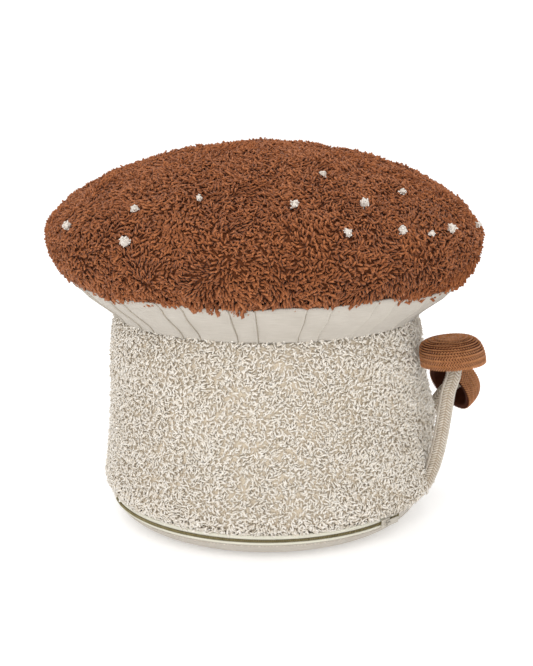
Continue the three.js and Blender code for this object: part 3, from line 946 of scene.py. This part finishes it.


# The core is painted darker than the braid's yarn, as the shade in the gaps between its strands.
cord_shade_cloth = backing_finish("cord_shade_cloth", rgb(0.34, 0.27, 0.19), rgb(0.44, 0.36, 0.27))
toadstool_stems = []
for number, (side, toadstool) in enumerate(TOADSTOOLS.items()):
    frames = path_frames(cord_path(toadstool))
    cord = straight_cord(frames[-1][0])
    bend_along(cord, frames)
    bmesh.ops.recalc_face_normals(cord, faces=cord.faces[:])
    dye(cord, tones_for(len(cord.faces) // STRAND_FACES, number + 5), middle_out=True)
    name = "toadstool_" + side
    finish_piece(name + "_braid", cord, cord_yarn, [name + "_stem"])
    core = cord_core(frames, CORD_RADIUS - 0.0012)
    bend_along(core, frames)
    bmesh.ops.recalc_face_normals(core, faces=core.faces[:])
    toadstool_stems.append(finish_piece(name + "_core", core, cord_shade_cloth))

# %% [markdown]
# ## Stem pile
# The pile of the stem is shorter and finer than the cap's, and its gaps are beige, because light
# gets deeper into pale yarn.

# %% Stem
stem_cloth = backing_finish("stem_cloth", rgb(0.66, 0.56, 0.43), rgb(0.78, 0.69, 0.56))
stem_shell = stem_outline(STEM_PILE, 1) + list(reversed(stem_outline(STEM_PILE + 0.003, 1)))
stem_backing = finish_piece(
    "stem_backing", push_out(turned(stem_shell, 96, closed=True)), stem_cloth,
    ["stem_cover"])
STEM_SECTORS = {"front": -60.0, "right": 60.0, "left": 180.0}
for number, (side, start) in enumerate(STEM_SECTORS.items()):
    sector = push_out(turned(stem_outline(STEM_PILE), 48, start, 120.0))
    pile = grow_pile(
        "stem_pile_" + side, sector, stem_strands, 0.00183, 10 * number + 41, 0.4, 0.6,
        (0.028, 0.058, 0.5), (0.78, 1.2), toadstool_stems, 0.4)
    finish_piece("stem_pile_" + side, pile, stem_yarn)

# %% [markdown]
# ## Toadstool caps
# Each cap is one long braid wound into a dome. Seen from outside it is a herringbone: rows of
# short strands that slant to one side and to the other in turn. One strand is laid on the dome's
# outline and copied round to make a row, and each row is smaller and tilted further than the one
# below. A dome under the rows closes the gaps, and its inside is the hollow under the cap. The
# dome is painted near-black as shade, both in those gaps and in the hollow.


# %% Braided caps
ROW_PITCH = 0.0028
ROW_INSET = 0.0010
PLAIT_PITCH = 0.0027
PLAIT_LENGTH = 0.0058
PLAIT_YARN = 0.0018


def bun(toadstool, share, inset):
    """A point of the dome's outline: share 0 is the rim and 1 the top."""
    angle = share * math.pi / 2
    reach = (toadstool["radius"] - inset) * math.cos(angle) ** 0.62
    return Vector((reach, (toadstool["height"] - inset) * math.sin(angle) ** 0.9))


def rows_of(toadstool, pitch, inset):
    """(place on the outline, direction up the outline) of each row, from the rim up."""
    fine = [bun(toadstool, step / 400, inset) for step in range(401)]
    rows, run, due = [], 0.0, pitch / 3
    for before, after in zip(fine, fine[1:]):
        run += (after - before).length
        if run >= due:
            rows.append((after, (after - before).normalized()))
            due += pitch
    return rows


def slump(bm, toadstool):
    """The soft dome leans over, so that the side towards the stem is fuller near its top."""
    for vert in bm.verts:
        if vert.co.x < 0:
            vert.co.x *= 1.0 + 0.3 * (vert.co.z / toadstool["height"]) ** 2
    return bm


def braided_dome(toadstool, seed):
    bm = no_strands()
    for number, (place, up) in enumerate(rows_of(toadstool, ROW_PITCH, ROW_INSET)):
        copies = max(4, round(2 * math.pi * place.x / PLAIT_PITCH))
        lean = Matrix.Rotation(math.atan2(-up.x, up.y), 4, "X")
        move = Matrix.Translation((0, -place.x, place.y)) @ lean
        row = laid_strand(PLAIT_LENGTH, PLAIT_YARN, 45 if number % 2 else -45, move)
        add_to(bm, ring_of(row, copies))
    bmesh.ops.recalc_face_normals(bm, faces=bm.faces[:])
    dye(bm, tones_for(len(bm.faces) // STRAND_FACES, seed), middle_out=True)
    bmesh.ops.transform(slump(bm, toadstool), matrix=cap_turn(toadstool), verts=bm.verts[:])
    return bm


def dome_lining(toadstool):
    outside = [bun(toadstool, step / 16, 0.0015) for step in range(17)]
    inside = [bun(toadstool, step / 16, BRAID_WALL) for step in range(16, -1, -1)]
    bm = turned([tuple(point) for point in [*outside, *inside]], 40, closed=True)
    bmesh.ops.transform(slump(bm, toadstool), matrix=cap_turn(toadstool), verts=bm.verts[:])
    return bm


# The lining's colour is painted shade: near-black, for the hollow and the gaps between strands.
braid_shade_cloth = backing_finish("braid_shade_cloth", rgb(0.045, 0.012, 0.006), rgb(0.075, 0.022, 0.011))
for number, (side, toadstool) in enumerate(TOADSTOOLS.items()):
    name = "toadstool_" + side
    finish_piece(
        name + "_dome", braided_dome(toadstool, number + 20), braid_yarn,
        [name + "_cap"])
    finish_piece(name + "_lining", dome_lining(toadstool), braid_shade_cloth)

# %% [markdown]
# ## Base
# The base panel is canvas, sewn to the stem and curved under to a flat foot. A row of small
# stitches runs round it below the zip.

# %% Base
BASE_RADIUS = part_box("base_panel")[1].x
BASE_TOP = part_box("base_panel")[1].z
FOOT_RADIUS = 0.120
BASE_SHOULDER = 0.027


def base_outline():
    path = [(0.0, 0.0), (0.06, 0.0), (0.11, 0.0)]
    for step in range(13):
        angle = step / 12 * math.pi / 2
        out = FOOT_RADIUS + (BASE_RADIUS - FOOT_RADIUS) * math.sin(angle)
        path.append((out, BASE_SHOULDER * (1 - math.cos(angle))))
    return [*path, (BASE_RADIUS, BASE_TOP - 0.0005)]


base = turned(base_outline(), 128)
bmesh.ops.solidify(base, geom=base.faces[:], thickness=0.002)
lay_cloth(base, BASE_RADIUS)
finish_piece("base", base, canvas, ["base_panel"])

# %% [markdown]
# ## Zip
# The zip runs round the front of the base in the seam: a pale tape above, an olive coil, and a
# pale tape below. A tape is a rounded strip that is spun through the zip's arc. The coil is a
# thread wound into loops, so one loop is copied along the arc.

# %% Zip tapes
ZIP_START, ZIP_END = -84.0, 54.0


def strip_outline(low, high, inner, outer):
    """A strip's section with its two outer corners rounded."""
    soft = 0.0006
    return [(inner, low), (outer - soft, low), (outer, low + soft), (outer, high - soft),
            (outer - soft, high), (inner, high)]


def arc_strip(outline):
    bm = turned(outline, 92, ZIP_START, ZIP_END - ZIP_START, closed=True)
    ends = [edge for edge in bm.edges if edge.is_boundary]
    bmesh.ops.holes_fill(bm, edges=ends, sides=0)
    bmesh.ops.recalc_face_normals(bm, faces=bm.faces[:])
    lay_cloth(bm, BASE_RADIUS)
    return bm


zip_tape = canvas_finish("zip_tape", rgb(0.62, 0.59, 0.48), rgb(0.84, 0.82, 0.70), 0.0007)
TAPE_BACK = BASE_RADIUS - 0.0018
TAPE_FRONT = TAPE_BACK + 0.0024
for side in ("lower", "upper"):
    low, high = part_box("zip_tape_" + side)
    tape = arc_strip(strip_outline(low.z, high.z, TAPE_BACK, TAPE_FRONT))
    finish_piece("zip_" + side, tape, zip_tape, ["zip_tape_" + side])

# %% Zip coil
coil_yarn = yarn_finish(
    "coil_yarn", (rgb(0.12, 0.10, 0.045), rgb(0.16, 0.13, 0.06)),
    (rgb(0.30, 0.25, 0.12), rgb(0.40, 0.34, 0.18)), 0.0)
coil_low, coil_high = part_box("zip_coil")
COIL_PITCH = 0.62


def coil_loops():
    middle = (coil_low.z + coil_high.z) / 2
    turn = Matrix.Rotation(math.radians(ZIP_START), 4, "Z")
    place = turn @ Matrix.Translation((0, -TAPE_BACK - 0.0026, middle))
    bm = laid_strand(0.0036, 0.0017, 90, place)
    steps = int((ZIP_END - ZIP_START) / COIL_PITCH)
    bmesh.ops.spin(
        bm, geom=bm.verts[:] + bm.edges[:] + bm.faces[:], cent=(0, 0, 0), axis=(0, 0, 1),
        angle=math.radians(ZIP_END - ZIP_START), steps=steps, use_duplicate=True)
    bmesh.ops.recalc_face_normals(bm, faces=bm.faces[:])
    dye(bm, tones_for(steps + 1, 60), middle_out=True)
    return bm


finish_piece("coil_loops", coil_loops(), coil_yarn, ["zip_coil"])
coil_bed = arc_strip(
    strip_outline(coil_low.z - 0.0003, coil_high.z + 0.0003, TAPE_BACK, TAPE_BACK + 0.0020))
# The bed behind the loops has the coil's own olive, painted darker as the shade between the loops.
coil_shade_cloth = canvas_finish("coil_shade_cloth", rgb(0.10, 0.08, 0.035), rgb(0.20, 0.16, 0.08), 0.0007)
finish_piece("coil_bed", coil_bed, coil_shade_cloth)

# %% [markdown]
# ## Stitches
# Small stitches run round the base below the zip and up the crease of each tuck. One stitch is a
# strand laid along the seam. Round the base it is copied in a ring; on the collar a run of
# stitches follows the outline up one tuck, and the run is copied to every tuck.


# %% Stitches
STITCH = 0.0026
STITCH_YARN = 0.0009


def stitch_ring(radius, height, copies, seed):
    place = Matrix.Translation((0, -radius, height))
    bm = ring_of(laid_strand(STITCH, STITCH_YARN, 0, place), copies)
    bmesh.ops.recalc_face_normals(bm, faces=bm.faces[:])
    dye(bm, tones_for(copies, seed), middle_out=True)
    return bm


def tuck_stitches(seed):
    outline = smooth_path(COLLAR_OUTLINE, 5)
    bm = no_strands()
    for side in (-TUCK_SPREAD, TUCK_SPREAD):
        turn = Matrix.Rotation(math.radians(TUCK_PHASE + side + CREASE), 4, "Z")
        for low, high in zip(outline, outline[1:]):
            lean = Matrix.Rotation(math.atan2(high.x - low.x, high.y - low.y), 4, "X")
            place = Matrix.Translation((0, -(low.x + high.x) / 2, (low.y + high.y) / 2))
            stitch = (high - low).length * 0.95
            add_to(bm, laid_strand(stitch, STITCH_YARN, 90, turn @ place @ lean))
    run = len(outline) - 1
    ring_of(bm, GORES)
    bmesh.ops.recalc_face_normals(bm, faces=bm.faces[:])
    dye(bm, tones_for(2 * run * GORES, seed), middle_out=True)
    return settle(bm)


base_stitches = stitch_ring(BASE_RADIUS - 0.0022, 0.0185, 300, 80)
finish_piece("base_stitches", base_stitches, cord_yarn)
finish_piece("tuck_stitches", tuck_stitches(81), thread_yarn)

# %% [markdown]
# ## Slider and pull
# The slider and its pull are small metal castings, painted to go with the canvas. They move, so
# each rides on a body of its own. Both are made at the front of the base and turned to the
# slider's place.

# %% Slider and pull
SLIDER_AZIMUTH = 45.0
SLIDER_BACK = BASE_RADIUS + 0.0019
SLIDER_HEIGHT = (coil_low.z + coil_high.z) / 2


def paint_finish(name, dark, pale):
    finish, board, shader = new_finish(name, Metallic=0.0, Specular_IOR_Level=0.5)
    place = board.add("ShaderNodeTexCoord", {}, {}, "Object")
    grain = board.add("ShaderNodeTexNoise", {}, {"Vector": place, "Scale": 900.0, "Detail": 3.0})
    board.feed(shader.inputs["Base Color"], board.mix(grain, dark, pale))
    board.feed(shader.inputs["Roughness"], 0.35 + grain * 0.2)
    return finish


def box_bevelled(size, middle, bevel):
    bm = bmesh.new()
    scale = Matrix.Diagonal((*size, 1.0))
    bmesh.ops.create_cube(bm, size=1.0, matrix=Matrix.Translation(middle) @ scale)
    bmesh.ops.bevel(
        bm, geom=bm.edges[:], offset=bevel, segments=3, profile=0.5, affect="EDGES", material=-1)
    return bm


def at_slider(bm):
    turn = Matrix.Rotation(math.radians(SLIDER_AZIMUTH), 4, "Z")
    place = turn @ Matrix.Translation((0, -SLIDER_BACK, SLIDER_HEIGHT))
    bmesh.ops.transform(bm, matrix=place, verts=bm.verts[:])
    return bm


slider_paint = paint_finish("slider_paint", rgb(0.40, 0.36, 0.30), rgb(0.55, 0.51, 0.44))
slider = box_bevelled((0.012, 0.0022, 0.0086), (0, -0.0011, 0), 0.0007)
for side in (-0.00245, 0.00245):
    add_to(slider, box_bevelled((0.0011, 0.0034, 0.0024), (side, -0.0037, 0), 0.0003))
add_to(slider, box_bevelled((0.0060, 0.0009, 0.0024), (0, -0.00495, 0), 0.0003))
finish_piece("slider_body", at_slider(slider), slider_paint, ["zip_slider"], "slider")
pull_tab = box_bevelled((0.0125, 0.0010, 0.0064), (0.0107, -0.00325, 0), 0.00045)
for side in (0.0022, -0.0022):
    add_to(pull_tab, box_bevelled((0.0052, 0.0010, 0.0013), (0.0021, -0.00325, side), 0.0003))
add_to(pull_tab, box_bevelled((0.0011, 0.0010, 0.0050), (0, -0.00325, 0), 0.0003))
finish_piece("pull_tab", at_slider(pull_tab), slider_paint, ["zip_pull"], "pull")

# %% [markdown]
# ## Inner cushion
# Under the covers is the cushion that the zip lets out. Nothing of it shows, but it is there: a
# plain cotton bag that fills the room inside, a little lumpy from its filling.

# %% Cushion
cushion_low, cushion_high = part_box("inner_cushion")
CUSHION_RADIUS = (cushion_high.x - cushion_low.x) / 2
CUSHION_OUTLINE = [
    (0.0, cushion_low.z), (0.115, cushion_low.z), (0.151, 0.017), (0.160, 0.034), (0.164, 0.060),
    (0.157, 0.120), (0.154, 0.180), (0.150, 0.222), (0.166, 0.243), (0.196, 0.262),
    (CUSHION_RADIUS - 0.002, 0.302), (0.185, 0.346), (0.120, 0.375),
    (0.050, cushion_high.z - 0.003), (0.0, cushion_high.z - 0.001)]
bag = turned([(max(spot.x, 0.0), spot.y) for spot in smooth_path(CUSHION_OUTLINE, 3)], 64)
for vert in bag.verts:
    lump = 0.5 + 0.5 * noise.noise(vert.co * 22.0)
    vert.co.xy -= vert.co.xy * 0.012 * lump
filling = backing_finish("filling_cloth", rgb(0.62, 0.60, 0.56), rgb(0.80, 0.78, 0.74))
cushion = finish_piece("cushion_bag", bag, filling, ["inner_cushion"])

# %% [markdown]
# ## Floor and light
# The photo has a plain white ground and soft light from all round, a little stronger from above
# and from the front. A white world gives the even part, and two large area lights the rest. The
# floor sweeps up behind the pouf, so that no horizon shows.

# %% Floor
floor_finish, floor_board, floor_shader = new_finish(
    "floor", Roughness=0.9, Specular_IOR_Level=0.1, Emission_Color=rgb(1, 1, 1),
    Emission_Strength=0.3)
floor_place = floor_board.add("ShaderNodeTexCoord", {}, {}, "Object")
floor_grain = floor_board.add("ShaderNodeTexNoise", {}, {"Vector": floor_place, "Scale": 3.0})
floor_board.feed(
    floor_shader.inputs["Base Color"],
    floor_board.mix(floor_grain, rgb(0.92, 0.92, 0.92), rgb(0.94, 0.94, 0.94)))
sweep = bmesh.new()
wall = [sweep.verts.new((-6.0, along, height)) for along, height in smooth_path(
    [(-6.0, 0.0), (0.0, 0.0), (3.0, 0.0), (4.4, 0.5), (5.0, 2.0), (5.1, 5.0)], 6)]
ribs = [sweep.edges.new(pair) for pair in zip(wall, wall[1:])]
pushed_floor = bmesh.ops.extrude_edge_only(sweep, edges=ribs)["geom"]
far_side = [item for item in pushed_floor if isinstance(item, bmesh.types.BMVert)]
bmesh.ops.translate(sweep, vec=(12.0, 0, 0), verts=far_side)
bmesh.ops.recalc_face_normals(sweep, faces=sweep.faces[:])
floor_mesh = bpy.data.meshes.new("floor")
sweep.to_mesh(floor_mesh)
sweep.free()
floor_mesh.shade_smooth()
floor_mesh.materials.append(floor_finish)
floor = bpy.data.objects.new("floor", floor_mesh)
bpy.context.scene.collection.objects.link(floor)

# %% Light
world = bpy.data.worlds.new("studio")
world.use_nodes = True
world.node_tree.nodes["Background"].inputs["Color"].default_value = rgb(1.0, 1.0, 1.0)
world.node_tree.nodes["Background"].inputs["Strength"].default_value = 0.72
bpy.context.scene.world = world
bpy.context.scene.view_settings.view_transform = "Standard"


def softbox(name, place, size, watts):
    lamp = bpy.data.lights.new(name, "AREA")
    lamp.size = size
    lamp.energy = watts
    light = bpy.data.objects.new(name, lamp)
    light.location = place
    light.rotation_euler = (Vector((0, 0, 0.2)) - Vector(place)).to_track_quat("-Z", "Y").to_euler()
    bpy.context.scene.collection.objects.link(light)


softbox("key", (-0.2, -2.4, 1.7), 2.0, 35.0)
softbox("top", (-0.1, 0.2, 2.6), 2.0, 26.0)
print("lights ready")

# %% [markdown]
# ## Tidying up
# The strands that were scattered are no longer needed, so they go.

# %% Finish
for strands in (cap_strands, stem_strands, dot_strands):
    for loose in list(strands.objects):
        bpy.data.objects.remove(loose)
    bpy.data.collections.remove(strands)
